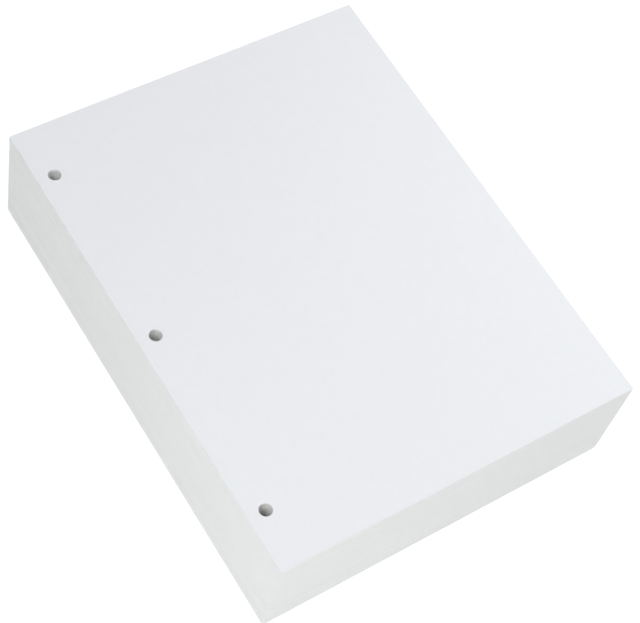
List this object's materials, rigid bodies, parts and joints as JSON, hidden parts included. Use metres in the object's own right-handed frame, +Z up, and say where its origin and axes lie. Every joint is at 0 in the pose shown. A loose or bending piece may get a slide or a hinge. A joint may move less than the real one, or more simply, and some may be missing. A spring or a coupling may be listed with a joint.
{
  "type": "three-hole punched paper",
  "caption": "Squared-up block of loose white letter-size sheets with round binder holes punched straight through beside one long edge, to file in a ring binder.",
  "frame": {"origin": "middle of the underside of the stack", "axes": "+Y up the page along its long edges, +X across the page away from the punched edge, +Z up through the stack"},
  "size_m": [0.216, 0.2794, 0.07],
  "materials": {
    "white_paper": "matte"
  },
  "bodies": {
    "root": {"paper_stack": "white_paper"}
  },
  "joints": []
}
